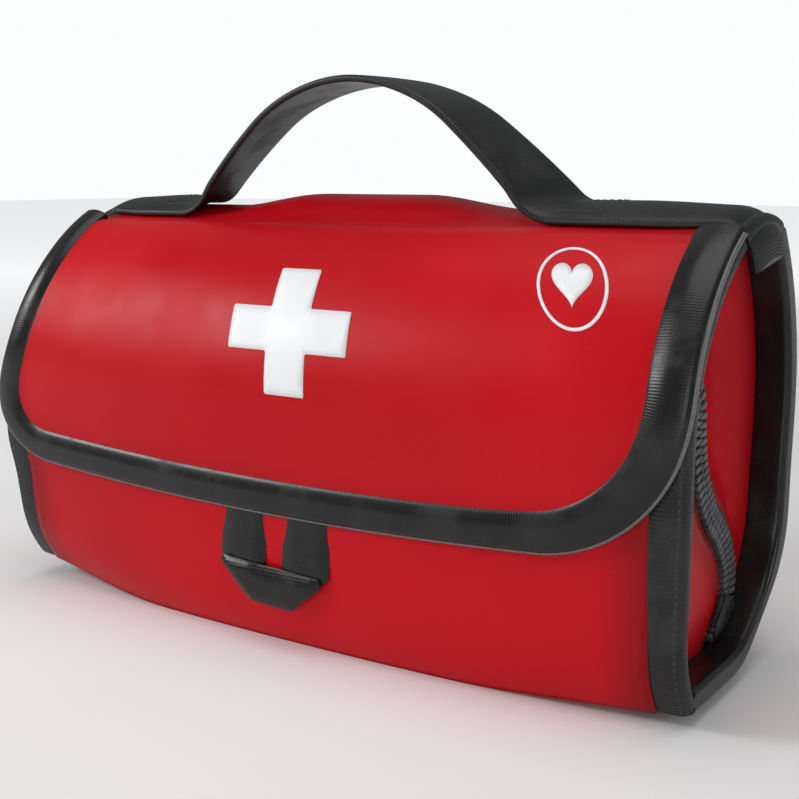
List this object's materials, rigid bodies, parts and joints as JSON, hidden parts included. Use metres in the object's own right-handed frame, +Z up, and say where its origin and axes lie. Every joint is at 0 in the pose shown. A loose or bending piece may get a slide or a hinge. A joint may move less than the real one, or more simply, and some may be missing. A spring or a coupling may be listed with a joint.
{
  "type": "first aid kit",
  "caption": "Soft zipped first aid bag with a bound flap, drop front and webbing handle, stocked with dressings, bandages and scissors.",
  "frame": {"origin": "middle of the bag at the surface it stands on", "axes": "+X along the length, -Y to the front, +Z up"},
  "size_m": [0.278, 0.0972, 0.189],
  "materials": {
    "red_fabric": "glossy coated nylon, padded",
    "black_binding": "ribbed woven binding tape",
    "black_webbing": "ribbed webbing",
    "zip_teeth": "moulded teeth",
    "zip_tape": "woven tape",
    "zip_metal": "black lacquered",
    "hook_and_loop": "hook and loop",
    "mesh": "open mesh",
    "plaster_paper": "paper wrapped plasters",
    "white_print": "smooth print",
    "steel": "brushed",
    "lining_board": "fabric covered board",
    "white_plastic": "gloss",
    "elastic": "ribbed elastic",
    "tape": "surgical tape",
    "card": "card tube",
    "cohesive": "crinkled elastic bandage",
    "packet_clear": "film packet",
    "packet_blue": "film pouch",
    "foil": "metallised film",
    "packet_green": "sachets",
    "gauze": "open gauze",
    "sterile_paper": "paper packet"
  },
  "bodies": {
    "body": {"back_panel": "red_fabric", "base_panel": "red_fabric", "body_zip_tape": "zip_tape", "body_zip_teeth": "zip_teeth", "cohesive_bandage": "cohesive", "cold_pack": "packet_blue", "dressing_1": "sterile_paper", "dressing_2": "sterile_paper", "elastic_loops": "elastic", "gauze_roll_1": "gauze", "gauze_roll_2": "gauze", "glove_pack": "packet_clear", "gusset_left": "red_fabric", "gusset_right": "red_fabric", "handle_feet": "black_webbing", "mesh_pocket": "mesh", "organiser_board": "lining_board", "rear_binding_left": "black_binding", "rear_binding_right": "black_binding", "rescue_blanket": "foil", "scissor_back": "steel", "scissor_pivot": "steel", "tape_core": "card", "tape_roll": "tape", "thermometer": "white_plastic", "top_corner_left": "red_fabric", "top_corner_right": "red_fabric", "top_panel": "red_fabric", "top_strap_left": "black_webbing", "top_strap_right": "black_webbing", "triangular_bandage": "packet_clear", "tweezers": "steel", "upper_binding_left": "black_binding", "upper_binding_right": "black_binding", "upper_front": "red_fabric", "wipes": "packet_green", "zip_tab_left": "black_webbing", "zip_tab_right": "black_webbing"},
    "door": {"front_panel": "red_fabric", "cheek_right": "red_fabric", "cheek_left": "red_fabric", "front_binding_right": "black_binding", "front_binding_left": "black_binding", "door_zip_teeth": "zip_teeth", "door_zip_tape": "zip_tape", "loop_strip": "hook_and_loop", "door_pocket": "mesh", "plaster_cards": "plaster_paper"},
    "flap": {"flap_panel": "red_fabric", "flap_binding": "black_binding", "hook_strip": "hook_and_loop", "cross_patch": "white_print", "badge": "white_print"},
    "pull_loop": {"pull_loop": "black_webbing"},
    "handle": {"handle_webbing": "black_webbing"},
    "slider": {"zip_slider": "zip_metal"},
    "zip_tab_pull": {"zip_pull": "zip_metal"},
    "scissor_blade": {"scissor_front": "steel"}
  },
  "joints": [
    {"name": "flap_hinge", "type": "hinge", "parent": "body", "child": "flap", "pos_m": [0, -0.0113, 0.1402], "axis": [-1, 0, 0], "range_deg": [0, 125]},
    {"name": "door_hinge", "type": "hinge", "parent": "body", "child": "door", "pos_m": [0, -0.037, 0.003], "axis": [1, 0, 0], "range_deg": [0, 52.5]},
    {"name": "pull_loop_hinge", "type": "hinge", "parent": "flap", "child": "pull_loop", "pos_m": [-0.0017, -0.0471, 0.045], "axis": [-1, 0, 0], "range_deg": [0, 90]},
    {"name": "handle_hinge", "type": "hinge", "parent": "body", "child": "handle", "pos_m": [-0.004, 0.0212, 0.1495], "axis": [-1, 0, 0], "range_deg": [0, 80]},
    {"name": "slider_slide", "type": "slide", "parent": "body", "child": "slider", "axis": [-1, 0, 0], "range_m": [0, 0.185]},
    {"name": "pull_hinge", "type": "hinge", "parent": "slider", "child": "zip_tab_pull", "pos_m": [0.0985, -0.04115, 0.1005], "axis": [0, 0.3141, 0.9494], "range_deg": [0, 62.5]},
    {"name": "scissor_pivot_joint", "type": "hinge", "parent": "body", "child": "scissor_blade", "pos_m": [-0.078, 0.0198, 0.084], "axis": [0, -1, 0], "range_deg": [0, 30]}
  ],
  "couplings": [
    {"joint": "door_hinge", "follows": "flap_hinge", "ratio": 0.42},
    {"joint": "pull_hinge", "follows": "flap_hinge", "ratio": 0.5}
  ]
}
